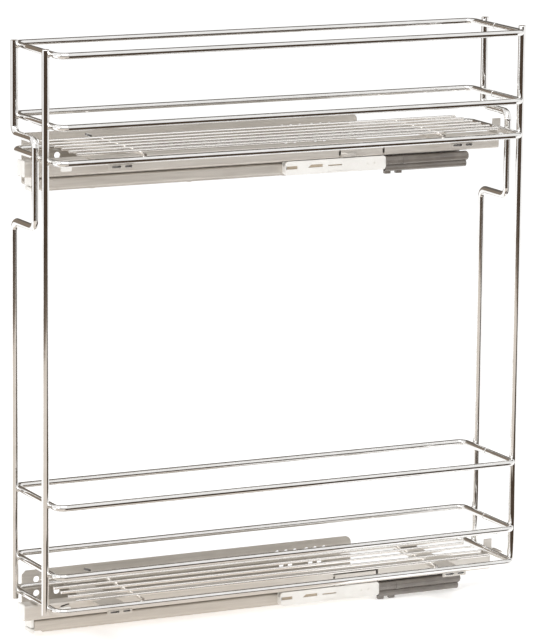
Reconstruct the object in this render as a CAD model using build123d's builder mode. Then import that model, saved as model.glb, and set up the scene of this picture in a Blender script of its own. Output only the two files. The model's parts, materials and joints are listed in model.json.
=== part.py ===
"""Two-tier pull-out wire basket for a narrow cabinet, on two soft-close roller runners.

Frame: X = 0 at mid length, and the front of the basket points to -X, the way it pulls out.
Y = 0 is the cabinet's side wall, and the basket hangs towards -Y. Z = 0 is the centre line
of the lower floor rail. Millimetres.
"""

import os

from build123d import *

os.makedirs("parts", exist_ok=True)

# Basket wires
BASKET_MIDDLE_Y = -59.0
RAIL_RADIUS = 3.0
RAIL_LENGTH = 484.0
RAIL_WIDTH = 104.0
RAIL_CORNER = 9.0
UPRIGHT_RADIUS = 3.5
UPRIGHT_OFFSET_Y = 36.5
UPRIGHT_BOTTOM = -6.0
UPRIGHT_TOP = 525.0
UPRIGHT_END_ROUND = 1.0
WELD_BITE = 0.3
LIGHT_WELD_BITE = 0.2
MIDDLE_RAIL_HEIGHT = 33.0
TOP_RAIL_HEIGHT = 99.0
TIERS = {"lower": 0.0, "upper": 421.0}

# Jog of the two wall-side uprights, round the fixed part of the upper runner
JOG_OFFSET_Y = -13.0
JOG_BOTTOM = 356.0
JOG_TOP = 438.0
JOG_BEND = 8.0

# Floor of each tier
FINE_WIRE_RADIUS = 1.5
FLOOR_WIRE_LENGTH = 440.0
FLOOR_WIRE_PITCH = 17.0
FLOOR_WIRE_COUNT = 6
CROSS_WIRE_X = 156.0
CROSS_WIRE_LENGTH = 108.0
CROSS_WIRE_HEIGHT = RAIL_RADIUS + FINE_WIRE_RADIUS - LIGHT_WELD_BITE
FLOOR_WIRE_HEIGHT = CROSS_WIRE_HEIGHT + 2 * FINE_WIRE_RADIUS - WELD_BITE

# Mounting plates between the floor rail and the runner
PLATE_X = 178.0
PLATE_WIDTH = 25.0
PLATE_SHEET = 1.5
PLATE_TOP = -RAIL_RADIUS + LIGHT_WELD_BITE
PLATE_BOTTOM = PLATE_TOP - PLATE_SHEET
PLATE_FAR = 53.0
PLATE_BEND = 1.0
TAB_FACE = -50.5
TAB_BOTTOM = -8.2
# Each slot of a tab as its middle, from the plate's middle, and its length
TAB_SLOTS = ((-5.4, 9.8), (6.7, 7.6))
TAB_SLOT_WIDTH = 2.2
TAB_SLOT_HEIGHT = -5.7
SCREW_RADIUS = 2.0
SCREW_HEAD_RADIUS = 3.6
SCREW_HEAD = 1.3
SCREW_ROW_Y = 6.0
SCREW_PITCH = 14.0

# Drawer profile, the runner member that travels with the basket
FOLD_BEND = 1.6
DRAWER_SHEET = 1.5
DRAWER_TOP = PLATE_BOTTOM
DRAWER_BOTTOM = -19.0
DRAWER_NEAR = -3.0
DRAWER_FAR = 15.0
DRAWER_NEAR_LIP = 5.0
DRAWER_FAR_LIP = 10.0
DRAWER_FRONT = -254.5
DRAWER_REAR = 244.0
FLAP_X = (71.0, 118.0)
FLAP_TOP = -6.9
FLAP_SLIT_WIDTH = 1.3
FLAP_NOTCH_WIDTH = 2.2
FRONT_SLIT_X = -213.5
FRONT_SLIT_HEIGHT = -7.2
FRONT_SLIT_LENGTH = 9.4
FRONT_SLIT_WIDTH = 1.5
FRONT_SLIT_TILT = 12.0
TONGUE_REAR = 262.0
TONGUE_MIDDLE = 13.0
TONGUE_WIDTH = 16.0
HOOK_FRONT = 245.5
HOOK_LENGTH = 8.5
HOOK_TOP = 7.5

# Middle profile: a web in the drawer profile, a foot in the cabinet profile, and a crank between them
MIDDLE_SHEET = 1.2
MIDDLE_FRONT = -241.5
MIDDLE_REAR = 206.0
WEB_Y = (-0.8, 12.8)
WEB_TOP = -11.6
WEB_LEG_Y = (6.9, 8.1)
CRANK_Y = (6.9, 14.6)
CRANK_TOP = -19.9
FOOT_LEG_Y = (13.4, 14.6)
FOOT_Y = (8.0, 20.0)
FOOT_BOTTOM = -25.4

# Cabinet profile, the fixed runner member
CABINET_SHEET = 1.5
CABINET_FRONT = -241.0
CABINET_REAR = 208.0
CABINET_NEAR = 6.0
CABINET_FAR = 22.0
CABINET_BOTTOM = -32.5
CABINET_TOP = -22.0
CABINET_LIP = 5.5

# Wall bracket
BRACKET_SHEET = 1.5
BRACKET_FRONT = -232.0
BRACKET_REAR = 120.0
BRACKET_TOP = 13.5
BRACKET_CORNER = 4.0
BRACKET_ROUND = 6.0
SHELF_NEAR = 8.0
WALL = -BASKET_MIDDLE_Y
FRONT_HOLE_RADIUS = 3.2
FRONT_HOLE_X = -217.0
SPARE_HOLE_X = -196.0
REAR_HOLE_RADIUS = 2.6
REAR_HOLE_PITCH = 9.6
UPPER_HOLE_ROW = 4.0
LOWER_HOLE_ROW = -9.5
UPPER_ROW_X = (39.0, 71.0)
UPPER_ROW_HOLES = 3
LOWER_ROW_X = (43.8, 75.8)
LOWER_ROW_HOLES = 2
BRACKET_SLOT_X = -164.0
BRACKET_SLOT_HEIGHT = 8.0
BRACKET_SLOT_LENGTH = 8.0
BRACKET_SLOT_WIDTH = 2.6
BRACKET_SLOT_TILT = -20.0
RIVETS_X = (-180.0, -80.0, 20.0, 100.0)
RIVET_ROW_Y = 14.0
RIVET_RADIUS = 1.5
RIVET_HEAD_RADIUS = 3.0
RIVET_HEAD = 1.0
HOLE_CLEARANCE = 0.05

# Rollers and their cages
RUNNING_GAP = 0.3
ROLLER_RADIUS = 2.5
ROLLER_LENGTH = 4.0
ROLLERS_PER_ROW = 5
CAGE_THICKNESS = 2.2
CABINET_CAGE_X = (-85.0, 95.0)
CABINET_CAGE_Y = (7.8, 20.2)
CABINET_ROLLER_ROWS = (10.6, 17.4)
CABINET_ROLLER_HEIGHT = -28.2
DRAWER_CAGE_X = (-90.0, 90.0)
DRAWER_CAGE_Y = (-1.2, 13.2)
DRAWER_ROLLER_ROWS = (1.8, 10.2)
DRAWER_ROLLER_HEIGHT = -8.7

# Soft-close unit: housing, damper cover and the parts inside
HOUSING_X = (14.0, 121.0)
HOUSING_Y = (-2.0, 6.0)
HOUSING_Z = (-33.0, -19.5)
HOUSING_WALL = 1.2
HOUSING_ROUND = 3.0
WIDE_SLOT = ((37.5, -26.6), (53.5, -26.6), (53.5, -23.8), (41.0, -23.8))
THIN_SLOT_X = (59.0, 74.0)
THIN_SLOT_Z = (-26.2, -25.0)
END_SLOT_X = (14.0, 26.5)
END_SLOT_Z = (-27.2, -24.2)
GROOVE_X = (59.0, 91.5)
GROOVE_Z = (-31.4, -30.6)
GROOVE_DEPTH = 0.4
DIMPLES = ((101.0, -26.0), (108.5, -25.5))
DIMPLE_RADIUS = 0.9
DIMPLE_DEPTH = 0.6
PIN_ROW_Y = 2.5
PIN_SLOT_WIDTH = 3.4
PIN_SLOT_BOTTOM = -24.6
PIN_SLOT_REAR = 98.0
PIN_X = 95.0
PIN_RADIUS = 1.2
PIN_END = -24.0
PIN_HEAD_RADIUS = 2.0
PIN_HEAD = 0.8
DAMPER_AXIS_Y = 1.2
DAMPER_AXIS_Z = -25.0
DAMPER_HOLE_RADIUS = 2.0
SPRING_AXIS_Z = -32.0
COVER_REAR = 212.0
COVER_UPPER_RADIUS = 4.7
COVER_END_ROUND = 2.5
COVER_LOWER_RADIUS = 3.6
COVER_LOWER_REAR = 209.0
COVER_FEET_X = ((121.0, 127.0), (133.0, 139.0))
COVER_FOOT_BOTTOM = -37.5
COVER_FOOT_WIDTH = 4.0
COVER_COLLAR_X = (139.5, 143.0)
COVER_COLLAR_AXIS_Y = 0.9
COVER_COLLAR_RADIUS = 5.0
CYLINDER_X = (126.0, 206.0)
CYLINDER_RADIUS = 3.4
CYLINDER_BORE = 2.65
CYLINDER_END = 3.0
ROD_RADIUS = 1.25
ROD_REAR = 196.0
PISTON_LENGTH = 6.0
PISTON_RADIUS = 2.35
SPRING_X = (123.0, 203.0)
SPRING_RADIUS = 2.6
SPRING_BORE = 2.8
CATCH_X = (92.0, 112.0)
CATCH_Y = (-0.5, 4.5)
CATCH_Z = (-31.5, -21.0)
CATCH_WALL_X = 96.5
CATCH_FRONT_WALL = 1.2
CATCH_FLOOR = -26.0
CATCH_LOW_TOP = -24.4

# White plastic pieces of the runner, each box as its limits in X, in Y from the middle, and in height
END_BLOCK_FACE = ((-256.0, -254.5), (-3.0, 12.0), (-18.0, -3.0))
END_BLOCK_PLUG = ((-254.5, -246.0), (-1.4, 11.4), (-17.4, -5.9))
MIDDLE_CAP_FACE = ((-244.5, -241.5), (6.5, 21.5), (-28.9, -19.6))
CABINET_CAP_FACE = ((-244.5, -241.0), (6.0, 22.0), (-34.0, -29.9))
CABINET_CAP_TONGUE = ((-241.0, -229.5), (8.0, 20.0), (-30.9, -29.6))
WHITE_END_ROUND = 1.5
WHITE_END_CHAMFER = 0.5
CLIP_X = (-219.0, -208.0)
CLIP_Z = (-15.0, -8.8)
CLIP_THICKNESS = 2.2
CLIP_ROUND = 1.5
CLIP_CHAMFER = 0.6


def save(part, node):
    """Name a finished piece after its node and write its file."""
    part.label = node
    export_step(part, f"parts/{node}.step")


def across(x, tier_z):
    """Plane square to the runner at x: local x is Y from the basket's middle, local y is height."""
    return Plane(origin=(x, BASKET_MIDDLE_Y, tier_z), x_dir=(0, 1, 0), z_dir=(1, 0, 0))


def along(offset_y, tier_z):
    """Upright plane along the runner, facing the near side: local x is X, local y is height."""
    return Plane(origin=(0, BASKET_MIDDLE_Y + offset_y, tier_z), x_dir=(1, 0, 0), z_dir=(0, -1, 0))


def level(height, tier_z):
    """Level plane over the basket's middle: local x is X, local y is Y from the middle."""
    return Plane(origin=(0, BASKET_MIDDLE_Y, tier_z + height), x_dir=(1, 0, 0), z_dir=(0, 0, 1))


def middle(span):
    """Middle of a pair of limits."""
    return (span[0] + span[1]) / 2


def length(span):
    """Distance between a pair of limits."""
    return span[1] - span[0]


def screw_places():
    """Places of the plate screws on a level plane, a pair on each mounting plate."""
    steps = (-SCREW_PITCH / 2, SCREW_PITCH / 2)
    return [(plate_x + step, SCREW_ROW_Y) for plate_x in (-PLATE_X, PLATE_X) for step in steps]


def rivet_places():
    """Places of the bracket's rivets on a level plane."""
    return [(x, RIVET_ROW_Y) for x in RIVETS_X]


def make_upright(node, x, offset_y):
    """Straight upright wire, welded outside the rails' ends."""
    with BuildPart() as upright:
        with BuildSketch(level(UPRIGHT_BOTTOM, 0)):
            with Locations((x, offset_y)):
                Circle(UPRIGHT_RADIUS)
        extrude(amount=UPRIGHT_TOP - UPRIGHT_BOTTOM)
        fillet(upright.edges().filter_by(GeomType.CIRCLE), radius=UPRIGHT_END_ROUND)
    save(upright.part, node)


def make_jogged_upright(node, x):
    """Wall-side upright, bent towards the near side where it passes the upper runner."""
    outer = BASKET_MIDDLE_Y + UPRIGHT_OFFSET_Y
    inner = BASKET_MIDDLE_Y + JOG_OFFSET_Y
    with BuildPart() as upright:
        with BuildLine() as route:
            FilletPolyline(
                (x, outer, UPRIGHT_BOTTOM),
                (x, outer, JOG_BOTTOM),
                (x, inner, JOG_BOTTOM),
                (x, inner, JOG_TOP),
                (x, outer, JOG_TOP),
                (x, outer, UPRIGHT_TOP),
                radius=JOG_BEND,
            )
        with BuildSketch(Plane(origin=route.line @ 0, z_dir=route.line % 0)):
            Circle(UPRIGHT_RADIUS)
        sweep()
    save(upright.part, node)


def make_rail(node, height):
    """Closed rail: one round wire bent to a rounded rectangle."""
    half_length = RAIL_LENGTH / 2
    near = BASKET_MIDDLE_Y - RAIL_WIDTH / 2
    far = BASKET_MIDDLE_Y + RAIL_WIDTH / 2
    with BuildPart() as rail:
        with BuildLine() as loop:
            FilletPolyline(
                (half_length, near, height),
                (half_length, far, height),
                (-half_length, far, height),
                (-half_length, near, height),
                radius=RAIL_CORNER,
                close=True,
            )
        with BuildSketch(Plane(origin=loop.line @ 0, z_dir=loop.line % 0)):
            Circle(RAIL_RADIUS)
        sweep()
    save(rail.part, node)


def make_floor_wires(tier, tier_z):
    """Six wires along the floor, side by side."""
    with BuildPart() as floor_wires:
        with BuildSketch(across(-FLOOR_WIRE_LENGTH / 2, tier_z)):
            with Locations((0, FLOOR_WIRE_HEIGHT)):
                with GridLocations(FLOOR_WIRE_PITCH, 0, FLOOR_WIRE_COUNT, 1):
                    Circle(FINE_WIRE_RADIUS)
        extrude(amount=FLOOR_WIRE_LENGTH)
    save(floor_wires.part, f"{tier}_floor_wires")


def make_cross_wires(tier, tier_z):
    """Two wires across the floor rail, which carry the floor wires."""
    with BuildPart() as cross_wires:
        with BuildSketch(along(-CROSS_WIRE_LENGTH / 2, tier_z)):
            with Locations((-CROSS_WIRE_X, CROSS_WIRE_HEIGHT), (CROSS_WIRE_X, CROSS_WIRE_HEIGHT)):
                Circle(FINE_WIRE_RADIUS)
        extrude(amount=-CROSS_WIRE_LENGTH)
    save(cross_wires.part, f"{tier}_cross_wires")


def make_mounting_plates(tier, tier_z):
    """Two plates under the floor rail, each with a slotted tab bent down along the near side."""
    plate_middle = PLATE_TOP - PLATE_SHEET / 2
    tab_middle = TAB_FACE + PLATE_SHEET / 2
    with BuildPart() as plates:
        for x in (-PLATE_X, PLATE_X):
            with BuildSketch(across(x - PLATE_WIDTH / 2, tier_z)):
                with BuildLine():
                    FilletPolyline(
                        (PLATE_FAR, plate_middle),
                        (tab_middle, plate_middle),
                        (tab_middle, TAB_BOTTOM),
                        radius=PLATE_BEND,
                    )
                trace(line_width=PLATE_SHEET)
            extrude(amount=PLATE_WIDTH)
        with BuildSketch(along(TAB_FACE, tier_z)):
            for slot_middle, slot_length in TAB_SLOTS:
                with Locations(*[(x + slot_middle, TAB_SLOT_HEIGHT) for x in (-PLATE_X, PLATE_X)]):
                    SlotOverall(slot_length, TAB_SLOT_WIDTH)
        extrude(amount=-PLATE_SHEET, mode=Mode.SUBTRACT)
        with BuildSketch(level(PLATE_TOP, tier_z)):
            with Locations(*screw_places()):
                Circle(SCREW_RADIUS + HOLE_CLEARANCE)
        extrude(amount=-PLATE_SHEET, mode=Mode.SUBTRACT)
    save(plates.part, f"{tier}_mounting_plates")


def make_plate_screws(tier, tier_z):
    """Four low-head screws that hold the mounting plates on the drawer profile."""
    with BuildPart() as screws:
        with BuildSketch(level(PLATE_TOP, tier_z)):
            with Locations(*screw_places()):
                Circle(SCREW_HEAD_RADIUS)
        extrude(amount=SCREW_HEAD)
        with BuildSketch(level(PLATE_TOP, tier_z)):
            with Locations(*screw_places()):
                Circle(SCREW_RADIUS)
        extrude(amount=-PLATE_SHEET - DRAWER_SHEET)
    save(screws.part, f"{tier}_plate_screws")


def make_drawer_profile(tier, tier_z):
    """Folded steel channel, open below, with a spring flap in its near wall and a rear hook."""
    half_sheet = DRAWER_SHEET / 2
    top = DRAWER_TOP - half_sheet
    bottom = DRAWER_BOTTOM + half_sheet
    near = DRAWER_NEAR + half_sheet
    far = DRAWER_FAR - half_sheet
    with BuildPart() as drawer_profile:
        with BuildSketch(across(DRAWER_FRONT, tier_z)):
            with BuildLine():
                FilletPolyline(
                    (DRAWER_NEAR_LIP, bottom),
                    (near, bottom),
                    (near, top),
                    (far, top),
                    (far, bottom),
                    (DRAWER_FAR_LIP, bottom),
                    radius=FOLD_BEND,
                )
            trace(line_width=DRAWER_SHEET)
        extrude(amount=DRAWER_REAR - DRAWER_FRONT)
        with BuildSketch(level(DRAWER_TOP, tier_z)):
            with Locations(((DRAWER_REAR + TONGUE_REAR) / 2, TONGUE_MIDDLE)):
                Rectangle(TONGUE_REAR - DRAWER_REAR, TONGUE_WIDTH)
        extrude(amount=-DRAWER_SHEET)
        with BuildSketch(along(TONGUE_MIDDLE - half_sheet, tier_z)):
            with Locations((HOOK_FRONT + HOOK_LENGTH / 2, (HOOK_TOP + DRAWER_TOP) / 2)):
                Rectangle(HOOK_LENGTH, HOOK_TOP - DRAWER_TOP)
        extrude(amount=-DRAWER_SHEET)
        with BuildSketch(along(DRAWER_NEAR, tier_z)):
            with Locations(*[(x, (DRAWER_BOTTOM + FLAP_TOP) / 2) for x in FLAP_X]):
                Rectangle(FLAP_NOTCH_WIDTH, FLAP_TOP - DRAWER_BOTTOM)
            with Locations((middle(FLAP_X), FLAP_TOP)):
                Rectangle(length(FLAP_X) + FLAP_NOTCH_WIDTH, FLAP_SLIT_WIDTH)
            with Locations((FRONT_SLIT_X, FRONT_SLIT_HEIGHT)):
                SlotOverall(FRONT_SLIT_LENGTH, FRONT_SLIT_WIDTH, rotation=FRONT_SLIT_TILT)
        extrude(amount=-DRAWER_SHEET, mode=Mode.SUBTRACT)
        with BuildSketch(level(DRAWER_TOP, tier_z)):
            with Locations(*screw_places()):
                Circle(SCREW_RADIUS + HOLE_CLEARANCE)
        extrude(amount=-DRAWER_SHEET, mode=Mode.SUBTRACT)
        with BuildSketch(level(DRAWER_BOTTOM, tier_z)):
            with Locations((PIN_X, PIN_ROW_Y)):
                Circle(PIN_RADIUS + HOLE_CLEARANCE)
        extrude(amount=DRAWER_SHEET, mode=Mode.SUBTRACT)
    save(drawer_profile.part, f"{tier}_drawer_profile")


def make_front_clip(tier, tier_z):
    """Small white retainer on the near face of the drawer profile."""
    with BuildPart() as front_clip:
        with BuildSketch(along(DRAWER_NEAR, tier_z)):
            with Locations((middle(CLIP_X), middle(CLIP_Z))):
                RectangleRounded(length(CLIP_X), length(CLIP_Z), CLIP_ROUND)
        extrude(amount=CLIP_THICKNESS)
        chamfer(front_clip.faces().sort_by(Axis.Y)[0].edges(), length=CLIP_CHAMFER)
    save(front_clip.part, f"{tier}_front_clip")


def make_white_end(node, face, plug, tier_z):
    """White end piece: a rounded face before the end of a profile and, if there is room, a plug in it."""
    face_x, face_y, face_z = face
    with BuildPart() as white_end:
        with BuildSketch(across(face_x[0], tier_z)):
            with Locations((middle(face_y), middle(face_z))):
                RectangleRounded(length(face_y), length(face_z), WHITE_END_ROUND)
        extrude(amount=length(face_x))
        chamfer(white_end.faces().sort_by(Axis.X)[0].edges(), length=WHITE_END_CHAMFER)
        if plug:
            plug_x, plug_y, plug_z = plug
            with BuildSketch(across(plug_x[0], tier_z)):
                with Locations((middle(plug_y), middle(plug_z))):
                    Rectangle(length(plug_y), length(plug_z))
            extrude(amount=length(plug_x))
    save(white_end.part, node)


def make_catch_pin(tier, tier_z):
    """Pin under the drawer profile that takes the soft-close catch along."""
    with BuildPart() as catch_pin:
        with BuildSketch(level(PIN_END, tier_z)):
            with Locations((PIN_X, PIN_ROW_Y)):
                Circle(PIN_RADIUS)
        extrude(amount=DRAWER_BOTTOM + DRAWER_SHEET - PIN_END)
        with BuildSketch(level(DRAWER_BOTTOM + DRAWER_SHEET, tier_z)):
            with Locations((PIN_X, PIN_ROW_Y)):
                Circle(PIN_HEAD_RADIUS)
        extrude(amount=PIN_HEAD)
    save(catch_pin.part, f"{tier}_catch_pin")


def make_middle_profile(tier, tier_z):
    """Middle member: its web runs in the drawer profile and its foot in the cabinet profile."""
    web_bottom = WEB_TOP - MIDDLE_SHEET
    crank_bottom = CRANK_TOP - MIDDLE_SHEET
    foot_top = FOOT_BOTTOM + MIDDLE_SHEET
    strips = (
        (WEB_Y, (web_bottom, WEB_TOP)),
        (WEB_LEG_Y, (CRANK_TOP, web_bottom)),
        (CRANK_Y, (crank_bottom, CRANK_TOP)),
        (FOOT_LEG_Y, (foot_top, crank_bottom)),
        (FOOT_Y, (FOOT_BOTTOM, foot_top)),
    )
    with BuildPart() as middle_profile:
        with BuildSketch(across(MIDDLE_FRONT, tier_z)):
            for strip_y, strip_z in strips:
                with Locations((middle(strip_y), middle(strip_z))):
                    Rectangle(length(strip_y), length(strip_z))
        extrude(amount=MIDDLE_REAR - MIDDLE_FRONT)
    save(middle_profile.part, f"{tier}_middle_profile")


def make_cage(node, cage_x, cage_y, rows, height, tier_z):
    """Flat plastic cage with one pocket for each roller."""
    pitch = length(cage_x) / ROLLERS_PER_ROW
    pocket_length = 2 * (ROLLER_RADIUS + RUNNING_GAP)
    pocket_width = ROLLER_LENGTH + 2 * RUNNING_GAP
    with BuildPart() as cage:
        with BuildSketch(level(height - CAGE_THICKNESS / 2, tier_z)):
            with Locations((middle(cage_x), middle(cage_y))):
                Rectangle(length(cage_x), length(cage_y))
            with Locations(*[(middle(cage_x), row) for row in rows]):
                with GridLocations(pitch, 0, ROLLERS_PER_ROW, 1):
                    Rectangle(pocket_length, pocket_width, mode=Mode.SUBTRACT)
        extrude(amount=CAGE_THICKNESS)
    save(cage.part, node)


def make_rollers(node, cage_x, rows, height, tier_z):
    """Rollers of one cage, each on an axis across the runner."""
    pitch = length(cage_x) / ROLLERS_PER_ROW
    with BuildPart() as rollers:
        for row in rows:
            with BuildSketch(along(row - ROLLER_LENGTH / 2, tier_z)):
                with Locations((middle(cage_x), height)):
                    with GridLocations(pitch, 0, ROLLERS_PER_ROW, 1):
                        Circle(ROLLER_RADIUS)
            extrude(amount=-ROLLER_LENGTH)
    save(rollers.part, node)


def make_cabinet_profile(tier, tier_z):
    """Fixed channel, open above, with two inward lips that hold the middle member down."""
    half_sheet = CABINET_SHEET / 2
    near = CABINET_NEAR + half_sheet
    far = CABINET_FAR - half_sheet
    bottom = CABINET_BOTTOM + half_sheet
    top = CABINET_TOP - half_sheet
    with BuildPart() as cabinet_profile:
        with BuildSketch(across(CABINET_FRONT, tier_z)):
            with BuildLine():
                FilletPolyline(
                    (CABINET_NEAR + CABINET_LIP, top),
                    (near, top),
                    (near, bottom),
                    (far, bottom),
                    (far, top),
                    (CABINET_FAR - CABINET_LIP, top),
                    radius=FOLD_BEND,
                )
            trace(line_width=CABINET_SHEET)
        extrude(amount=CABINET_REAR - CABINET_FRONT)
        with BuildSketch(level(CABINET_BOTTOM, tier_z)):
            with Locations(*rivet_places()):
                Circle(RIVET_RADIUS + HOLE_CLEARANCE)
        extrude(amount=CABINET_SHEET, mode=Mode.SUBTRACT)
    save(cabinet_profile.part, f"{tier}_cabinet_profile")


def make_wall_bracket(tier, tier_z):
    """L-shaped bracket: a flange on the cabinet wall and a shelf under the cabinet profile."""
    half_sheet = BRACKET_SHEET / 2
    flange = WALL - half_sheet
    shelf = CABINET_BOTTOM - half_sheet
    upper_x = [first + index * REAR_HOLE_PITCH for first in UPPER_ROW_X for index in range(UPPER_ROW_HOLES)]
    lower_x = [first + index * REAR_HOLE_PITCH for first in LOWER_ROW_X for index in range(LOWER_ROW_HOLES)]
    with BuildPart() as wall_bracket:
        with BuildSketch(across(BRACKET_FRONT, tier_z)):
            with BuildLine():
                FilletPolyline(
                    (flange, BRACKET_TOP),
                    (flange, shelf),
                    (SHELF_NEAR, shelf),
                    radius=FOLD_BEND,
                )
            trace(line_width=BRACKET_SHEET)
        extrude(amount=BRACKET_REAR - BRACKET_FRONT)
        top_corners = wall_bracket.edges().filter_by(Axis.Y).group_by(Axis.Z)[-1]
        fillet(top_corners.sort_by(Axis.X)[-1], radius=BRACKET_ROUND)
        top_corners = wall_bracket.edges().filter_by(Axis.Y).group_by(Axis.Z)[-1]
        chamfer(top_corners.sort_by(Axis.X)[0], length=BRACKET_CORNER)
        with BuildSketch(along(WALL, tier_z)):
            with Locations(
                (FRONT_HOLE_X, UPPER_HOLE_ROW), (FRONT_HOLE_X, LOWER_HOLE_ROW), (SPARE_HOLE_X, LOWER_HOLE_ROW)
            ):
                Circle(FRONT_HOLE_RADIUS)
            with Locations(*[(x, UPPER_HOLE_ROW) for x in upper_x], *[(x, LOWER_HOLE_ROW) for x in lower_x]):
                Circle(REAR_HOLE_RADIUS)
            with Locations((BRACKET_SLOT_X, BRACKET_SLOT_HEIGHT)):
                SlotOverall(BRACKET_SLOT_LENGTH, BRACKET_SLOT_WIDTH, rotation=BRACKET_SLOT_TILT)
        extrude(amount=BRACKET_SHEET, mode=Mode.SUBTRACT)
        with BuildSketch(level(CABINET_BOTTOM, tier_z)):
            with Locations(*rivet_places()):
                Circle(RIVET_RADIUS + HOLE_CLEARANCE)
        extrude(amount=-BRACKET_SHEET, mode=Mode.SUBTRACT)
    save(wall_bracket.part, f"{tier}_wall_bracket")


def make_bracket_rivets(tier, tier_z):
    """Rivets that join the bracket's shelf and the cabinet profile, flush inside the profile."""
    shelf_bottom = CABINET_BOTTOM - BRACKET_SHEET
    with BuildPart() as rivets:
        with BuildSketch(level(shelf_bottom - RIVET_HEAD, tier_z)):
            with Locations(*rivet_places()):
                Circle(RIVET_HEAD_RADIUS)
        extrude(amount=RIVET_HEAD)
        with BuildSketch(level(shelf_bottom, tier_z)):
            with Locations(*rivet_places()):
                Circle(RIVET_RADIUS)
        extrude(amount=BRACKET_SHEET + CABINET_SHEET)
    save(rivets.part, f"{tier}_bracket_rivets")


def make_soft_close_housing(tier, tier_z):
    """White box beside the cabinet profile, slotted above so that the catch pin can leave forwards."""
    inner_x = (HOUSING_X[0] + HOUSING_WALL, HOUSING_X[1] - HOUSING_WALL)
    inner_y = (HOUSING_Y[0] + HOUSING_WALL, HOUSING_Y[1] - HOUSING_WALL)
    inner_z = (HOUSING_Z[0] + HOUSING_WALL, HOUSING_Z[1] - HOUSING_WALL)
    with BuildPart() as housing:
        with BuildSketch(along(HOUSING_Y[0], tier_z)):
            with Locations((middle(HOUSING_X), middle(HOUSING_Z))):
                RectangleRounded(length(HOUSING_X), length(HOUSING_Z), HOUSING_ROUND)
        extrude(amount=-length(HOUSING_Y))
        with BuildSketch(along(inner_y[0], tier_z)):
            with Locations((middle(inner_x), middle(inner_z))):
                RectangleRounded(length(inner_x), length(inner_z), HOUSING_ROUND - HOUSING_WALL)
        extrude(amount=-length(inner_y), mode=Mode.SUBTRACT)
        with BuildSketch(across(HOUSING_X[0], tier_z)):
            with Locations((PIN_ROW_Y, (PIN_SLOT_BOTTOM + HOUSING_Z[1]) / 2)):
                Rectangle(PIN_SLOT_WIDTH, HOUSING_Z[1] - PIN_SLOT_BOTTOM)
        extrude(amount=PIN_SLOT_REAR - HOUSING_X[0], mode=Mode.SUBTRACT)
        with BuildSketch(across(inner_x[1], tier_z)):
            with Locations((DAMPER_AXIS_Y, DAMPER_AXIS_Z)):
                Circle(DAMPER_HOLE_RADIUS)
        extrude(amount=HOUSING_WALL, mode=Mode.SUBTRACT)
        with BuildSketch(along(HOUSING_Y[0], tier_z)):
            with BuildLine():
                Polyline(*WIDE_SLOT, close=True)
            make_face()
            for slot_x, slot_z in ((THIN_SLOT_X, THIN_SLOT_Z), (END_SLOT_X, END_SLOT_Z)):
                with Locations((middle(slot_x), middle(slot_z))):
                    Rectangle(length(slot_x), length(slot_z))
        extrude(amount=-HOUSING_WALL, mode=Mode.SUBTRACT)
        with BuildSketch(along(HOUSING_Y[0], tier_z)):
            with Locations((middle(GROOVE_X), middle(GROOVE_Z))):
                Rectangle(length(GROOVE_X), length(GROOVE_Z))
        extrude(amount=-GROOVE_DEPTH, mode=Mode.SUBTRACT)
        with BuildSketch(along(HOUSING_Y[0], tier_z)):
            with Locations(*DIMPLES):
                Circle(DIMPLE_RADIUS)
        extrude(amount=-DIMPLE_DEPTH, mode=Mode.SUBTRACT)
    save(housing.part, f"{tier}_soft_close_housing")


def make_damper_cover(tier, tier_z):
    """Grey moulding behind the housing: a damper tube above, a spring tube below, two feet."""
    front = HOUSING_X[1]
    with BuildPart() as cover:
        with BuildSketch(across(front, tier_z)):
            with Locations((DAMPER_AXIS_Y, DAMPER_AXIS_Z)):
                Circle(COVER_UPPER_RADIUS)
        extrude(amount=COVER_REAR - front)
        fillet(cover.faces().sort_by(Axis.X)[-1].edges(), radius=COVER_END_ROUND)
        with BuildSketch(across(front, tier_z)):
            with Locations((DAMPER_AXIS_Y, SPRING_AXIS_Z)):
                Circle(COVER_LOWER_RADIUS)
        extrude(amount=COVER_LOWER_REAR - front)
        with BuildSketch(across(COVER_COLLAR_X[0], tier_z)):
            with Locations((COVER_COLLAR_AXIS_Y, DAMPER_AXIS_Z)):
                Circle(COVER_COLLAR_RADIUS)
        extrude(amount=length(COVER_COLLAR_X))
        for foot_x in COVER_FEET_X:
            with BuildSketch(across(foot_x[0], tier_z)):
                with Locations((DAMPER_AXIS_Y, (SPRING_AXIS_Z + COVER_FOOT_BOTTOM) / 2)):
                    Rectangle(COVER_FOOT_WIDTH, SPRING_AXIS_Z - COVER_FOOT_BOTTOM)
            extrude(amount=length(foot_x))
        with BuildSketch(across(front, tier_z)):
            with Locations((DAMPER_AXIS_Y, DAMPER_AXIS_Z)):
                Circle(CYLINDER_RADIUS)
        extrude(amount=CYLINDER_X[1] - front, mode=Mode.SUBTRACT)
        with BuildSketch(across(front, tier_z)):
            with Locations((DAMPER_AXIS_Y, SPRING_AXIS_Z)):
                Circle(SPRING_BORE)
        extrude(amount=SPRING_X[1] - front, mode=Mode.SUBTRACT)
    save(cover.part, f"{tier}_damper_cover")


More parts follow.
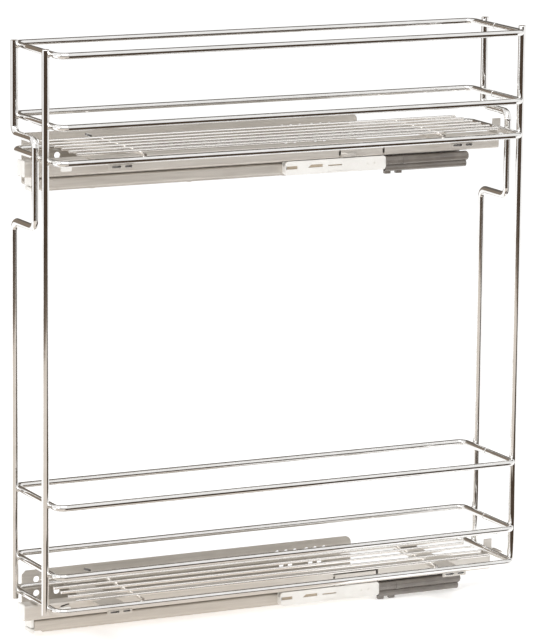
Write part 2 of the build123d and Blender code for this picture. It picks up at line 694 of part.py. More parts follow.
def make_damper_cylinder(tier, tier_z):
    """Closed tube of the damper, bored for the piston and, at its front end, for the rod."""
    with BuildPart() as cylinder:
        with BuildSketch(across(CYLINDER_X[0], tier_z)):
            with Locations((DAMPER_AXIS_Y, DAMPER_AXIS_Z)):
                Circle(CYLINDER_RADIUS)
        extrude(amount=length(CYLINDER_X))
        with BuildSketch(across(CYLINDER_X[0] + CYLINDER_END, tier_z)):
            with Locations((DAMPER_AXIS_Y, DAMPER_AXIS_Z)):
                Circle(CYLINDER_BORE)
        extrude(amount=length(CYLINDER_X) - 2 * CYLINDER_END, mode=Mode.SUBTRACT)
        with BuildSketch(across(CYLINDER_X[0], tier_z)):
            with Locations((DAMPER_AXIS_Y, DAMPER_AXIS_Z)):
                Circle(ROD_RADIUS + HOLE_CLEARANCE)
        extrude(amount=CYLINDER_END, mode=Mode.SUBTRACT)
    save(cylinder.part, f"{tier}_damper_cylinder")


def make_pull_in_spring(tier, tier_z):
    """Hidden tension spring, in its tube under the damper, as a plain sleeve."""
    with BuildPart() as spring:
        with BuildSketch(across(SPRING_X[0], tier_z)):
            with Locations((DAMPER_AXIS_Y, SPRING_AXIS_Z)):
                Circle(SPRING_RADIUS)
                Circle(SPRING_RADIUS / 2, mode=Mode.SUBTRACT)
        extrude(amount=length(SPRING_X))
    save(spring.part, f"{tier}_pull_in_spring")


def make_catch_slider(tier, tier_z):
    """Carrier in the housing: the pin stands between its low front wall and its tall rear part."""
    pocket_x = (CATCH_X[0] + CATCH_FRONT_WALL, CATCH_WALL_X)
    with BuildPart() as catch:
        with BuildSketch(along(CATCH_Y[0], tier_z)):
            with Locations((middle(CATCH_X), middle(CATCH_Z))):
                Rectangle(length(CATCH_X), length(CATCH_Z))
            with Locations((middle(pocket_x), (CATCH_FLOOR + CATCH_Z[1]) / 2)):
                Rectangle(length(pocket_x), CATCH_Z[1] - CATCH_FLOOR, mode=Mode.SUBTRACT)
            with Locations((CATCH_X[0] + CATCH_FRONT_WALL / 2, (CATCH_LOW_TOP + CATCH_Z[1]) / 2)):
                Rectangle(CATCH_FRONT_WALL, CATCH_Z[1] - CATCH_LOW_TOP, mode=Mode.SUBTRACT)
        extrude(amount=-length(CATCH_Y))
    save(catch.part, f"{tier}_catch_slider")


def make_damper_rod(tier, tier_z):
    """Rod from the catch slider into the damper, with its piston."""
    with BuildPart() as rod:
        with BuildSketch(across(CATCH_X[1], tier_z)):
            with Locations((DAMPER_AXIS_Y, DAMPER_AXIS_Z)):
                Circle(ROD_RADIUS)
        extrude(amount=ROD_REAR - CATCH_X[1])
        with BuildSketch(across(ROD_REAR - PISTON_LENGTH, tier_z)):
            with Locations((DAMPER_AXIS_Y, DAMPER_AXIS_Z)):
                Circle(PISTON_RADIUS)
        extrude(amount=PISTON_LENGTH)
    save(rod.part, f"{tier}_damper_rod")


# Uprights, on the outer side of both rail ends
upright_x = RAIL_LENGTH / 2 + RAIL_RADIUS + UPRIGHT_RADIUS - WELD_BITE
make_upright("front_near_upright", -upright_x, -UPRIGHT_OFFSET_Y)
make_upright("rear_near_upright", upright_x, -UPRIGHT_OFFSET_Y)
make_jogged_upright("front_wall_upright", -upright_x)
make_jogged_upright("rear_wall_upright", upright_x)

# Each tier is the same basket and the same runner at its own height
for tier_name, tier_height in TIERS.items():
    make_rail(f"{tier_name}_floor_rail", tier_height)
    make_rail(f"{tier_name}_middle_rail", tier_height + MIDDLE_RAIL_HEIGHT)
    make_rail(f"{tier_name}_top_rail", tier_height + TOP_RAIL_HEIGHT)
    make_floor_wires(tier_name, tier_height)
    make_cross_wires(tier_name, tier_height)
    make_mounting_plates(tier_name, tier_height)
    make_plate_screws(tier_name, tier_height)
    make_drawer_profile(tier_name, tier_height)
    make_front_clip(tier_name, tier_height)
    make_white_end(f"{tier_name}_end_block", END_BLOCK_FACE, END_BLOCK_PLUG, tier_height)
    make_catch_pin(tier_name, tier_height)
    make_middle_profile(tier_name, tier_height)
    make_white_end(f"{tier_name}_middle_end_cap", MIDDLE_CAP_FACE, None, tier_height)
    make_cage(f"{tier_name}_cabinet_roller_cage", CABINET_CAGE_X, CABINET_CAGE_Y,
              CABINET_ROLLER_ROWS, CABINET_ROLLER_HEIGHT, tier_height)
    make_rollers(f"{tier_name}_cabinet_rollers", CABINET_CAGE_X,
                 CABINET_ROLLER_ROWS, CABINET_ROLLER_HEIGHT, tier_height)
    make_cage(f"{tier_name}_drawer_roller_cage", DRAWER_CAGE_X, DRAWER_CAGE_Y,
              DRAWER_ROLLER_ROWS, DRAWER_ROLLER_HEIGHT, tier_height)
    make_rollers(f"{tier_name}_drawer_rollers", DRAWER_CAGE_X,
                 DRAWER_ROLLER_ROWS, DRAWER_ROLLER_HEIGHT, tier_height)
    make_cabinet_profile(tier_name, tier_height)
    make_white_end(f"{tier_name}_cabinet_end_cap", CABINET_CAP_FACE, CABINET_CAP_TONGUE, tier_height)
    make_wall_bracket(tier_name, tier_height)
    make_bracket_rivets(tier_name, tier_height)
    make_soft_close_housing(tier_name, tier_height)
    make_damper_cover(tier_name, tier_height)
    make_damper_cylinder(tier_name, tier_height)
    make_pull_in_spring(tier_name, tier_height)
    make_catch_slider(tier_name, tier_height)
    make_damper_rod(tier_name, tier_height)
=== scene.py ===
# %% [markdown]
# # A chromed pull-out basket, dressed in Blender
#
# The real object is a narrow two-tier wire basket that slides out of a kitchen cabinet on two
# roller runners. Every load-carrying part already exists as a CAD mesh in real metres. Those
# parts could be modelled again in Blender, but the CAD meshes are exact and already move on
# their joints. So this lesson keeps them and gives each one a finish made of shader nodes. It
# adds only small pieces that carry nothing: weld beads, butt seams, moulded ribs, a pressed
# clip, a tongue in a slot, the lips of some slots, and dark and tan sheets of painted shade
# behind some slots and openings.

# %% Load the frame
import json
import math

import bmesh
import bpy
from mathutils import Matrix, Vector, noise


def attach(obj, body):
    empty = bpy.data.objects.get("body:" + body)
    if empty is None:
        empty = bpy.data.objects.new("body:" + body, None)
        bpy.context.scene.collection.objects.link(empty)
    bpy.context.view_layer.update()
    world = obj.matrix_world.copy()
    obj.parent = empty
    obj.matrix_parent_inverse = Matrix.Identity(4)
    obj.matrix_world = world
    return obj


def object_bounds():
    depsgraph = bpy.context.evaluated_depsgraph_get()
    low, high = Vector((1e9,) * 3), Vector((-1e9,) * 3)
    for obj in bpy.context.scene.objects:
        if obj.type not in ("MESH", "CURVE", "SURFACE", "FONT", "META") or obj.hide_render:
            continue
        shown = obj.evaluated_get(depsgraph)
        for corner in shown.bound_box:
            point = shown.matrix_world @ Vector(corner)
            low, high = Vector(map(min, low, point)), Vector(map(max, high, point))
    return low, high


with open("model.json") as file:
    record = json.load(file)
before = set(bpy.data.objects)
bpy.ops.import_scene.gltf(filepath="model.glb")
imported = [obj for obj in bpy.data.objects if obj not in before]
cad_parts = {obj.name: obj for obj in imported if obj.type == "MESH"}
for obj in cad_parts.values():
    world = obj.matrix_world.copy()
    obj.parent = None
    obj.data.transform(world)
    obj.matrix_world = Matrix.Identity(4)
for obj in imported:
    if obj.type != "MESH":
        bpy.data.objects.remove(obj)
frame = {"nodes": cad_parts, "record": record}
nodes = frame["nodes"]
cad_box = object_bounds()

# %% [markdown]
# ## The camera
#
# The photo was taken from the front left with a long lens, so parallel rails hardly converge. A
# camera can be set by eye, but a small error in its place tilts every rail. So a least-squares
# fit of rail corners gave the place and the focal length. The focal length is kept in pixels of
# the picture and turned into millimetres on the sensor's long side.

# %% Place the camera
PICTURE_HEIGHT = 643
FOCAL_PIXELS = 4234.7
SENSOR = 36.0
FAR_CLIP = 100
EYE = Vector((-1.7551, -3.6120, 1.0113))
YAW = math.radians(-26.24)
PITCH = math.radians(10.9)
ROLL = math.radians(0.61)


def camera_axes(yaw, pitch, roll):
    """Right, up and backward directions of a camera that is turned, tipped and rolled."""
    back = Vector((math.sin(yaw) * math.cos(pitch), -math.cos(yaw) * math.cos(pitch), math.sin(pitch)))
    right = Vector((math.cos(yaw), math.sin(yaw), 0))
    up = back.cross(right)
    rolled_right = right * math.cos(roll) + up * math.sin(roll)
    rolled_up = up * math.cos(roll) - right * math.sin(roll)
    return rolled_right, rolled_up, back


camera = bpy.data.objects.new("camera", bpy.data.cameras.new("camera"))
bpy.context.collection.objects.link(camera)
bpy.context.scene.camera = camera
camera.data.sensor_width = SENSOR
camera.data.lens = FOCAL_PIXELS * SENSOR / PICTURE_HEIGHT
camera.data.clip_end = FAR_CLIP
camera_turn = Matrix(camera_axes(YAW, PITCH, ROLL)).transposed().to_4x4()
camera.matrix_world = Matrix.Translation(EYE) @ camera_turn
print("lens", round(camera.data.lens, 1), "mm")

# %% [markdown]
# ## The sky
#
# A catalogue photo of chrome is mostly a photo of the studio: white tables and ceilings give the
# bright bands, and the dark room behind the camera gives the brown line along each wire. One
# plain white world could light everything, but it would push pale plastic past white. So the sky
# is white where the camera, a mirror or glass sees it, and a little weaker as a lamp.

# %% A sky that is weaker as a lamp
WHITE = (1, 1, 1, 1)
SKY_AS_LAMP = 0.62


def larger_of(tree, first, second):
    """The larger of two values, by a maths node."""
    larger = tree.nodes.new("ShaderNodeMath")
    larger.operation = "MAXIMUM"
    tree.links.new(first, larger.inputs[0])
    tree.links.new(second, larger.inputs[1])
    return larger.outputs[0]


bpy.context.scene.view_settings.view_transform = "Standard"
world = bpy.data.worlds.new("studio_sky")
bpy.context.scene.world = world
world.use_nodes = True
sky = world.node_tree
sky.nodes.clear()
light_path = sky.nodes.new("ShaderNodeLightPath")
camera_or_mirror = larger_of(sky, light_path.outputs["Is Camera Ray"], light_path.outputs["Is Glossy Ray"])
seen = larger_of(sky, camera_or_mirror, light_path.outputs["Is Transmission Ray"])
strength = sky.nodes.new("ShaderNodeMapRange")
strength.inputs["To Min"].default_value = SKY_AS_LAMP
strength.inputs["To Max"].default_value = 1.0
sky.links.new(seen, strength.inputs["Value"])
background = sky.nodes.new("ShaderNodeBackground")
background.inputs["Color"].default_value = WHITE
sky.links.new(strength.outputs[0], background.inputs["Strength"])
sky_out = sky.nodes.new("ShaderNodeOutputWorld")
sky.links.new(background.outputs[0], sky_out.inputs["Surface"])
print("sky as lamp:", SKY_AS_LAMP)

# %% [markdown]
# ## Two softboxes
#
# A sky alone lights all sides alike, and folded sheet then looks flat. A studio hangs a large
# soft lamp above the table and stands a smaller one at the side. Small spot lamps could do it,
# but a small lamp casts a hard shadow. So both are large area lamps, whose shadows are soft.

# %% Hang the softboxes
OBJECT_MIDDLE = Vector((0, -0.06, 0.25))
SOFTBOXES = {
    "top_softbox": {"place": (-0.4, -1.2, 2.6), "side": 1.6, "watts": 22},
    "left_softbox": {"place": (-2.4, -0.8, 1.2), "side": 1.2, "watts": 10},
}
for name, softbox in SOFTBOXES.items():
    lamp = bpy.data.objects.new(name, bpy.data.lights.new(name, "AREA"))
    bpy.context.collection.objects.link(lamp)
    lamp.data.size = softbox["side"]
    lamp.data.energy = softbox["watts"]
    lamp.location = softbox["place"]
    lamp.rotation_euler = (OBJECT_MIDDLE - Vector(softbox["place"])).to_track_quat("-Z", "Y").to_euler()
    print(name, softbox["watts"], "W")

# %% [markdown]
# ## The white floor
#
# The page of a catalogue is pure white right under the object, and yet the object has a soft
# shadow. A shadow catcher would have to be laid over a white page afterwards. So the floor is a
# large matt white sheet just under the lowest point of the object. It adds some light of its
# own, which brings it up to the white of the page and leaves the shadow.

# %% Lay the floor
FLOOR_GAP = 0.0005
FLOOR_HEIGHT = cad_box[0].z - FLOOR_GAP
FLOOR_REACH = 40.0
FLOOR_GLOW = 0.42


def mesh_object(name, vertices, faces):
    """A mesh object from plain lists, linked to the scene."""
    mesh = bpy.data.meshes.new(name)
    mesh.from_pydata([tuple(v) for v in vertices], [], faces)
    mesh.update()
    sheet = bpy.data.objects.new(name, mesh)
    bpy.context.collection.objects.link(sheet)
    return sheet


floor = mesh_object(
    "floor",
    [(x * FLOOR_REACH, y * FLOOR_REACH, FLOOR_HEIGHT) for x, y in ((-1, -1), (1, -1), (1, 1), (-1, 1))],
    [(0, 1, 2, 3)],
)
floor_paint = bpy.data.materials.new("floor_paint")
floor_paint.use_nodes = True
floor_shader = floor_paint.node_tree.nodes["Principled BSDF"]
floor_shader.inputs["Base Color"].default_value = WHITE
floor_shader.inputs["Roughness"].default_value = 1
floor_shader.inputs["Specular IOR Level"].default_value = 0
floor_shader.inputs["Emission Color"].default_value = WHITE
floor_shader.inputs["Emission Strength"].default_value = FLOOR_GLOW
floor.data.materials.append(floor_paint)
print("floor at", round(FLOOR_HEIGHT, 4), "m")

# %% [markdown]
# ## Plain paints for the studio cards
#
# Chrome shows little colour of its own, because it mirrors the room. A picture of a studio could
# be wrapped round the world, but none of its parts could be moved alone. Cards can, until each
# line on the wire is where it should be. Their paint glows in one colour and mirrors nothing.

# %% A paint that only glows
ROOM_BROWN = (0.075, 0.053, 0.038)
BACK_GREY = (0.16, 0.145, 0.13)
END_BROWN = (0.27, 0.22, 0.175)


def card_paint(name, colour):
    """A paint that glows in one colour and mirrors nothing."""
    paint = bpy.data.materials.new(name)
    paint.use_nodes = True
    shader = paint.node_tree.nodes["Principled BSDF"]
    shader.inputs["Base Color"].default_value = (0, 0, 0, 1)
    shader.inputs["Specular IOR Level"].default_value = 0
    shader.inputs["Emission Color"].default_value = (*colour, 1)
    shader.inputs["Emission Strength"].default_value = 1
    return paint


room_paint = card_paint("room_paint", ROOM_BROWN)
print("room paint:", ROOM_BROWN)

# %% [markdown]
# ## A paint that fades with distance
#
# The table is beige near the basket and gives way to the dark room. Several plain cards side by
# side would show hard steps in the chrome. So the distance from the object's origin drives a
# colour ramp, and the colour changes from stop to stop without a seam.

# %% The table's paint
TABLE_STOPS = (
    (1.30, (0.80, 0.73, 0.66)),
    (1.55, (0.74, 0.67, 0.60)),
    (1.70, (0.25, 0.20, 0.16)),
    (1.90, (0.14, 0.11, 0.085)),
    (2.40, ROOM_BROWN),
)


def fading_paint(name, stops):
    """A glowing paint whose colour follows the distance from the origin, from stop to stop."""
    nearest, farthest = stops[0][0], stops[-1][0]
    paint = card_paint(name, stops[0][1])
    tree = paint.node_tree
    coordinates = tree.nodes.new("ShaderNodeTexCoord")
    away = tree.nodes.new("ShaderNodeVectorMath")
    away.operation = "LENGTH"
    tree.links.new(coordinates.outputs["Object"], away.inputs[0])
    fade = tree.nodes.new("ShaderNodeMapRange")
    fade.inputs["From Min"].default_value = nearest
    fade.inputs["From Max"].default_value = farthest
    tree.links.new(away.outputs["Value"], fade.inputs["Value"])
    ramp = tree.nodes.new("ShaderNodeValToRGB")
    while len(ramp.color_ramp.elements) < len(stops):
        ramp.color_ramp.elements.new(0.5)
    for element, (distance, colour) in zip(ramp.color_ramp.elements, stops):
        element.position = (distance - nearest) / (farthest - nearest)
        element.color = (*colour, 1)
    tree.links.new(fade.outputs[0], ramp.inputs["Fac"])
    tree.links.new(ramp.outputs["Color"], tree.nodes["Principled BSDF"].inputs["Emission Color"])
    return paint


table_paint = fading_paint("table_paint", TABLE_STOPS)
print("table paint:", len(TABLE_STOPS), "stops")

# %% [markdown]
# ## Cards that only mirrors can see
#
# The camera looks down, so a point on an upright wire mirrors the floor about five times its own
# height away. A pale table near the basket and a dark room beyond it therefore give the wire a
# pale foot and a brown core higher up. A dark board high at the back gives the long rails a thin
# upper outline. The short rails at the two ends run away from the camera and mirror what stands
# behind the basket, so a brown board stands there. Flat cards would do, but their ends are
# farther off than their middles. So each card is a strip of a ring round the basket.

# %% A strip of a ring
CARD_STEPS = 24


def set_up_card(card, paint):
    """Paint a card and hide it from everything but reflections."""
    card.data.materials.append(paint)
    card.visible_camera = False
    card.visible_diffuse = False
    card.visible_shadow = False
    card.visible_transmission = False
    card.visible_volume_scatter = False


def ring_card(name, edges, middle, half_spread, paint):
    """A strip of a ring round the basket between two edges, each a radius and a height."""
    vertices = []
    for step in range(CARD_STEPS + 1):
        angle = middle + half_spread * (2 * step / CARD_STEPS - 1)
        away = Vector((math.sin(angle), -math.cos(angle), 0))
        vertices.extend(away * radius + Vector((0, 0, height)) for radius, height in edges)
    faces = [(2 * s, 2 * s + 1, 2 * s + 3, 2 * s + 2) for s in range(CARD_STEPS)]
    set_up_card(mesh_object(name, vertices, faces), paint)
    print(name, "spans", round(math.degrees(2 * half_spread)), "degrees")


print("steps of a ring card:", CARD_STEPS)

# %% Table and room on the camera's side
CAMERA_SIDE = YAW
CARD_LIFT = 0.002
CARD_HEIGHT = FLOOR_HEIGHT + CARD_LIFT
TABLE_HOLE = 0.05
TABLE_EDGE = 6.0
WALL_TOP = 1.0
ring_card(
    "table", ((TABLE_HOLE, CARD_HEIGHT), (TABLE_EDGE, CARD_HEIGHT)),
    CAMERA_SIDE, math.radians(55), table_paint,
)
ring_card(
    "room_wall", ((TABLE_EDGE, FLOOR_HEIGHT), (TABLE_EDGE, WALL_TOP)),
    CAMERA_SIDE + math.radians(10), math.radians(65), room_paint,
)

# %% Boards behind the basket
BOARD_RADIUS = 2.6
BACK_LOW = 0.9
BACK_TOP_RADIUS = 0.9
BACK_TOP = 3.2
END_TOP = 1.9
back_paint = card_paint("back_paint", BACK_GREY)
ring_card(
    "back_board", ((BOARD_RADIUS, BACK_LOW), (BACK_TOP_RADIUS, BACK_TOP)),
    math.radians(180 - 35), math.radians(40), back_paint,
)
end_paint = card_paint("end_paint", END_BROWN)
ring_card(
    "end_board", ((BOARD_RADIUS, FLOOR_HEIGHT), (BOARD_RADIUS, END_TOP)),
    math.radians(180), math.radians(42), end_paint,
)

# %% [markdown]
# ## The dark strip in front of the basket
#
# A rail looks down in front of the basket, and the steeper it looks, the nearer the place. A dark
# strip on the table there gives the rail its brown line. It could be a plain rectangle, but a
# ray that a rail mirrors still drifts to the right, as the camera's own view does. So the strip
# has a long arm that slants that way.

# %% Lay the dark strip
STRIP_HEIGHT = CARD_HEIGHT + CARD_LIFT
STRIP_OUTLINE = ((-0.26, -0.22), (0.55, -0.22), (2.40, -3.4), (1.15, -3.4), (-0.02, -0.50), (-0.22, -0.50))
front_strip = mesh_object(
    "front_strip", [(x, y, STRIP_HEIGHT) for x, y in STRIP_OUTLINE], [(0, 5, 4, 3, 2, 1)]
)
set_up_card(front_strip, room_paint)
print("dark strip with", len(STRIP_OUTLINE), "corners")

# %% [markdown]
# ## How every finish starts
#
# Real surfaces are never one flat colour: drawing, rolling and moulding leave small changes of
# tone and gloss. They could be painted as pictures, but noise in the object's own coordinates
# needs no unwrapping, and it doesn't slide when the camera or the basket moves. Drawn and rolled
# metal has streaks, so the noise can be drawn out along one axis.

# %% Noise in the object's own coordinates
EVEN = (1, 1, 1)
NOISE_DETAIL = 3.0


def new_finish(name):
    """A material, its tree, its principled shader and the coordinates in object space."""
    material = bpy.data.materials.new(name)
    material.use_nodes = True
    tree = material.node_tree
    coordinates = tree.nodes.new("ShaderNodeTexCoord")
    return material, tree, tree.nodes["Principled BSDF"], coordinates.outputs["Object"]


def grain(tree, coordinates, scale, stretch=EVEN):
    """Noise, drawn out along the axes where the stretch is small."""
    mapping = tree.nodes.new("ShaderNodeMapping")
    mapping.inputs["Scale"].default_value = stretch
    tree.links.new(coordinates, mapping.inputs["Vector"])
    cloud = tree.nodes.new("ShaderNodeTexNoise")
    cloud.inputs["Scale"].default_value = scale
    cloud.inputs["Detail"].default_value = NOISE_DETAIL
    tree.links.new(mapping.outputs[0], cloud.inputs["Vector"])
    return cloud.outputs["Fac"]


print("noise detail:", NOISE_DETAIL)

# %% [markdown]
# ## From noise to tone, gloss and relief
#
# Noise gathers round its middle and seldom comes near 0 or 1. Used as it is, it would show only
# part of a range, so its middle part is spread over all of it. Tone, gloss and relief could each
# have a noise of their own. Here one noise drives the tone and the roughness together, because a
# polished or worn spot changes both, and a finer one drives the relief.

# %% Helpers for tone, gloss and relief
NOISE_MIDDLE = (0.3, 0.7)


def spread_values(tree, value, low, high):
    """Map the middle part of noise to a range of values."""
    spread = tree.nodes.new("ShaderNodeMapRange")
    spread.inputs["From Min"].default_value = NOISE_MIDDLE[0]
    spread.inputs["From Max"].default_value = NOISE_MIDDLE[1]
    spread.inputs["To Min"].default_value = low
    spread.inputs["To Max"].default_value = high
    tree.links.new(value, spread.inputs["Value"])
    return spread.outputs[0]


def two_tones(tree, value, dark, light):
    """Blend two colours by a value."""
    mix = tree.nodes.new("ShaderNodeMix")
    mix.data_type = "RGBA"
    mix.inputs["A"].default_value = (*dark, 1)
    mix.inputs["B"].default_value = (*light, 1)
    tree.links.new(spread_values(tree, value, 0, 1), mix.inputs["Factor"])
    return mix.outputs["Result"]


def relief(tree, shader, value, depth):
    """Bump from a value, with a depth in metres."""
    bump = tree.nodes.new("ShaderNodeBump")
    bump.inputs["Distance"].default_value = depth
    bump.inputs["Strength"].default_value = 1.0
    tree.links.new(value, bump.inputs["Height"])
    tree.links.new(bump.outputs[0], shader.inputs["Normal"])


print("noise is spread from", NOISE_MIDDLE)

# %% [markdown]
# ## Chrome
#
# The rails and uprights are bright chromed wire: a clean mirror whose roughness wanders slightly
# where the wire was drawn and polished. The thin floor wires look softer in the photo. Each metal
# could have a node tree of its own, but they differ only in numbers, so one function makes all.

# %% One function for all metals, and both chromes
RELIEF_FINENESS = 2
ALONG_WIRE = (0.2, 1, 1)


def make_metal(name, dark, light, gloss, scale, depth, streaks=EVEN, metallic=1.0):
    """A metal with two close tones, a range of roughness, and streaks along chosen axes."""
    material, tree, shader, coordinates = new_finish(name)
    shader.inputs["Metallic"].default_value = metallic
    cloud = grain(tree, coordinates, scale, streaks)
    tree.links.new(two_tones(tree, cloud, dark, light), shader.inputs["Base Color"])
    tree.links.new(spread_values(tree, cloud, *gloss), shader.inputs["Roughness"])
    relief(tree, shader, grain(tree, coordinates, scale * RELIEF_FINENESS, streaks), depth)
    return material


chrome = make_metal(
    "bright_chrome", dark=(0.80, 0.79, 0.77), light=(0.88, 0.87, 0.86),
    gloss=(0.03, 0.08), scale=60, depth=0.000015,
)
fine_chrome = make_metal(
    "soft_chrome", dark=(0.93, 0.90, 0.865), light=(0.98, 0.96, 0.93),
    gloss=(0.20, 0.28), scale=120, depth=0.000004, streaks=ALONG_WIRE,
)
print("chromes:", chrome.name, "and", fine_chrome.name)

# %% [markdown]
# ## Zinc-plated sheet
#
# The profiles, brackets and plates are rolled sheet with a zinc plating. It is duller than chrome
# and shows fine streaks along the runner. It could be a full metal, but that would take all its
# tone from what it mirrors. Real plating has a thin skin that scatters light, so this one is only
# partly metallic.

# %% Zinc
ALONG_RUNNER = (0.06, 1, 1)
zinc = make_metal(
    "zinc_plated_sheet", dark=(0.69, 0.65, 0.595), light=(0.78, 0.74, 0.685),
    gloss=(0.42, 0.52), scale=500, depth=0.00002, streaks=ALONG_RUNNER, metallic=0.6,
)
print("zinc:", zinc.name)

# %% [markdown]
# ## Steels of the mechanism
#
# The damper's tube is drawn and the rollers are ground, so both are fairly bright and have
# streaks of their own. Spring steel is dark. Most of these pieces stay hidden in the runner, and
# one grey could do for all, but in a view of the opened part nothing would tell them apart.

# %% Damper, roller and spring steel
ALONG_TUBE = (0.05, 1, 1)
ALONG_ROLLER = (1, 0.1, 1)
damper_steel = make_metal(
    "drawn_steel", dark=(0.60, 0.60, 0.61), light=(0.68, 0.68, 0.69),
    gloss=(0.2, 0.3), scale=600, depth=0.00001, streaks=ALONG_TUBE,
)
roller_steel = make_metal(
    "ground_steel", dark=(0.62, 0.62, 0.62), light=(0.72, 0.72, 0.72),
    gloss=(0.15, 0.25), scale=600, depth=0.00001, streaks=ALONG_ROLLER,
)
spring_steel = make_metal(
    "spring_steel", dark=(0.30, 0.29, 0.28), light=(0.38, 0.37, 0.36),
    gloss=(0.25, 0.4), scale=300, depth=0.00002,
)
print("steels:", damper_steel.name, roller_steel.name, spring_steel.name)

# %% [markdown]
# ## Moulded plastic
#
# The clips, caps and housings are white mouldings, the roller cages are duller, and the damper
# cover is grey. Moulded plastic shows a fine grain and slightly uneven gloss. The grey cover is
# polished and mirrors bright and dark bands along its tube. A low roughness alone would mirror
# them only weakly, so a clear coat adds a second reflection there.

# %% White, grey and cage plastic
PLASTIC_CLOUD = 90
MOULD_GRAIN = 1800
MOULD_DEPTH = 0.00002
POLISHED_DEPTH = 0.000005
COAT_ROUGHNESS = 0.06


def make_plastic(name, dark, light, gloss, depth=MOULD_DEPTH, polish=0.0):
    """Moulded plastic: two close tones, a fine grain, uneven gloss and, if polished, a clear coat."""
    material, tree, shader, coordinates = new_finish(name)
    cloud = grain(tree, coordinates, PLASTIC_CLOUD)
    tree.links.new(two_tones(tree, cloud, dark, light), shader.inputs["Base Color"])
    tree.links.new(spread_values(tree, cloud, *gloss), shader.inputs["Roughness"])
    relief(tree, shader, grain(tree, coordinates, MOULD_GRAIN), depth)
    shader.inputs["Coat Weight"].default_value = polish
    shader.inputs["Coat Roughness"].default_value = COAT_ROUGHNESS
    return material


white_plastic = make_plastic(
    "white_moulding", dark=(0.90, 0.875, 0.83), light=(0.95, 0.93, 0.89), gloss=(0.30, 0.42)
)
grey_plastic = make_plastic(
    "grey_moulding", dark=(0.165, 0.145, 0.126), light=(0.21, 0.186, 0.163), gloss=(0.15, 0.24),
    depth=POLISHED_DEPTH, polish=1.0,
)
cage_plastic = make_plastic(
    "cage_moulding", dark=(0.70, 0.68, 0.62), light=(0.78, 0.76, 0.70), gloss=(0.4, 0.55)
)
print("plastics:", white_plastic.name, grey_plastic.name, cage_plastic.name)

# %% [markdown]
# ## Finishes go onto the CAD parts
#
# Each part could be given its finish by hand, but one would soon be forgotten. The record names a
# material slot for each part, so a loop serves them all. Only the thin wires of the two floors
# differ from their slot: they are chromed wire like the rails, and they take the softer chrome.

# %% Give every part its finish
FINISH_OF_SLOT = {
    "chromed_wire": chrome,
    "zinc_steel": zinc,
    "white_plastic": white_plastic,
    "grey_plastic": grey_plastic,
    "cage_plastic": cage_plastic,
    "roller_steel": roller_steel,
    "damper_steel": damper_steel,
    "spring_steel": spring_steel,
}
TIER_HEIGHTS = {"lower": 0.0, "upper": 421.0}
for part in frame["record"]["subparts"]:
    node = nodes[part["node"]]
    node.data.materials.clear()
    node.data.materials.append(FINISH_OF_SLOT[part["material_slot"]])
for tier in TIER_HEIGHTS:
    for wires in ("floor_wires", "cross_wires"):
        nodes[f"{tier}_{wires}"].data.materials[0] = fine_chrome

# %% [markdown]
# ## Making and placing small pieces
#
# Each small piece is given in millimetres from the basket's own middle, so its numbers can be
# compared with a ruler. Blender's modelling operators work on whatever is selected. A bmesh works
# on plain vertices and faces, which is safer in a script. Every piece then rides on the body that
# carries it, so it moves with the basket or stays with the wall.

# %% Helpers for added pieces
MM = 0.001
BASKET_MIDDLE_Y = -59.0


def place(x, y, z):
    """A point in metres from X, Y from the basket's middle and height in millimetres."""
    return Vector((x, BASKET_MIDDLE_Y + y, z)) * MM


def added_piece(name, shape, finish, body):
    """Turn a bmesh into a smooth object with a finish, which rides on a body."""
    mesh = bpy.data.meshes.new(name)
    bmesh.ops.recalc_face_normals(shape, faces=shape.faces)
    shape.to_mesh(mesh)
    shape.free()
    mesh.shade_smooth()
    piece = bpy.data.objects.new(name, mesh)
    bpy.context.collection.objects.link(piece)
    piece.data.materials.append(finish)
    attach(piece, body)


print("middle of the basket:", [round(value, 3) for value in place(0, 0, 0)], "m")

# %% [markdown]
# ## Weld beads
#
# A wire basket is joined by resistance welding: two crossing wires are pressed together between
# electrodes, and a current melts the point where they touch. A little metal is squeezed out,
# which leaves a small uneven collar. One collar could be sculpted and copied, but then all would
# be alike. Here each is a flattened ball whose skin is pushed in and out by noise, and the noise
# is read at a different place for each one.

# %% A bead with an uneven skin
BEAD_UNEVENNESS = 0.18
BEAD_LUMPS = 1.8
BEAD_VARIETY = 900


def add_bead(shape, centre, half_sizes):
    """A weld bead: a flattened ball with an uneven skin."""
    for vertex in bmesh.ops.create_icosphere(shape, subdivisions=2, radius=1)["verts"]:
        unevenness = 1 + BEAD_UNEVENNESS * noise.noise(vertex.co * BEAD_LUMPS + centre * BEAD_VARIETY)
        stretched = Vector([along * half for along, half in zip(vertex.co, half_sizes)])
        vertex.co = centre + stretched * unevenness * MM


print("a bead's skin moves by up to", round(BEAD_UNEVENNESS * 100), "percent")

# %% Beads where the uprights meet the rails
JOINT_X = 245.1
UPRIGHT_Y = 36.5
JOG_Y = -13.0
RAIL_STEPS = (0.0, 33.0, 99.0)
UPRIGHT_BEAD = (1.3, 3.1, 3.0)
joints_done = 0
for end, side_x in (("front", -JOINT_X), ("rear", JOINT_X)):
    for side in ("near", "wall"):
        beads = bmesh.new()
        for tier, height in TIER_HEIGHTS.items():
            for step in RAIL_STEPS:
                jogged = side == "wall" and tier == "upper" and step == 0
                y = -UPRIGHT_Y if side == "near" else (JOG_Y if jogged else UPRIGHT_Y)
                add_bead(beads, place(side_x, y, height + step), UPRIGHT_BEAD)
                joints_done += 1
        added_piece(f"{end}_{side}_upright_welds", beads, chrome, "basket")
print("upright welds:", joints_done)

# %% [markdown]
# ## Beads of the two floors
#
# Each floor is two cross wires laid over the floor rail, with six lengthwise wires on them. The
# beads sit between wires that lie on each other, so they are flatter than those of the uprights.
# They could be one piece for each joint. One piece for each floor is easier to find and to move.

